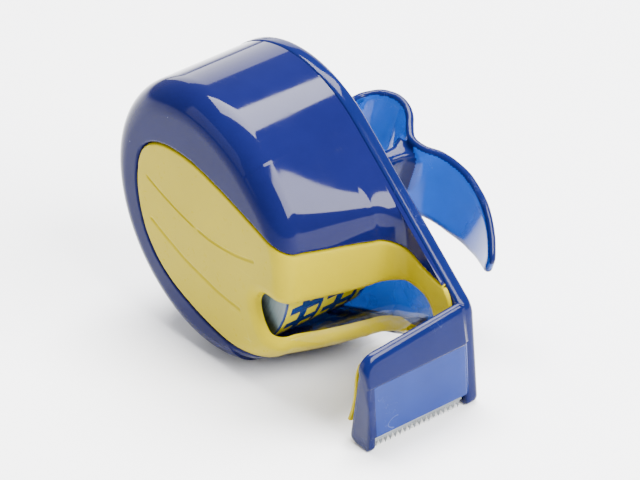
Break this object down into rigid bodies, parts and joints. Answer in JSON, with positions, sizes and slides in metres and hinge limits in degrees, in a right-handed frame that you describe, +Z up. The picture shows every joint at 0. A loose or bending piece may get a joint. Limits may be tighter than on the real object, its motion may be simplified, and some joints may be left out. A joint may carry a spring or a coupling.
{
  "type": "tape dispenser",
  "caption": "Hand-worn tape dispenser: domed pull-off cover with tape window, finger saddle, toothed blade and tape roll.",
  "frame": {"origin": "centre of the whole object's outline, on the table plane, as it stands on its round rim and on the nose's toe", "axes": "+X from the round end to the nose, +Y from the cover's side face to the finger saddle, +Z up"},
  "size_m": [0.0694, 0.0408, 0.051],
  "materials": {
    "clear_blue": "glossy, slightly see-through",
    "blue": "glossy",
    "yellow": "satin",
    "steel": "bright",
    "card": "printed card",
    "wound_tape": "wound clear film",
    "tape_film": "clear film"
  },
  "bodies": {
    "base": {"back_plate": "clear_blue", "nose_guard": "clear_blue", "cutter_blade": "steel", "blade_rivets": "clear_blue", "spindle_hub": "yellow", "hub_screw": "steel", "finger_saddle": "clear_blue", "saddle_screws": "steel"},
    "cover": {"cover_shell": "blue", "side_panel": "yellow", "tape_lead": "tape_film"},
    "roll": {"tape_core": "card", "tape_roll": "wound_tape"}
  },
  "joints": [
    {"name": "roll_spin", "type": "hinge", "parent": "base", "child": "roll", "pos_m": [-0.00922, -0.00841, 0.0255], "axis": [0, 1, 0], "continuous": true},
    {"name": "cover_pull", "type": "slide", "parent": "base", "child": "cover", "axis": [0, -1, 0], "range_m": [0, 0.03]}
  ]
}
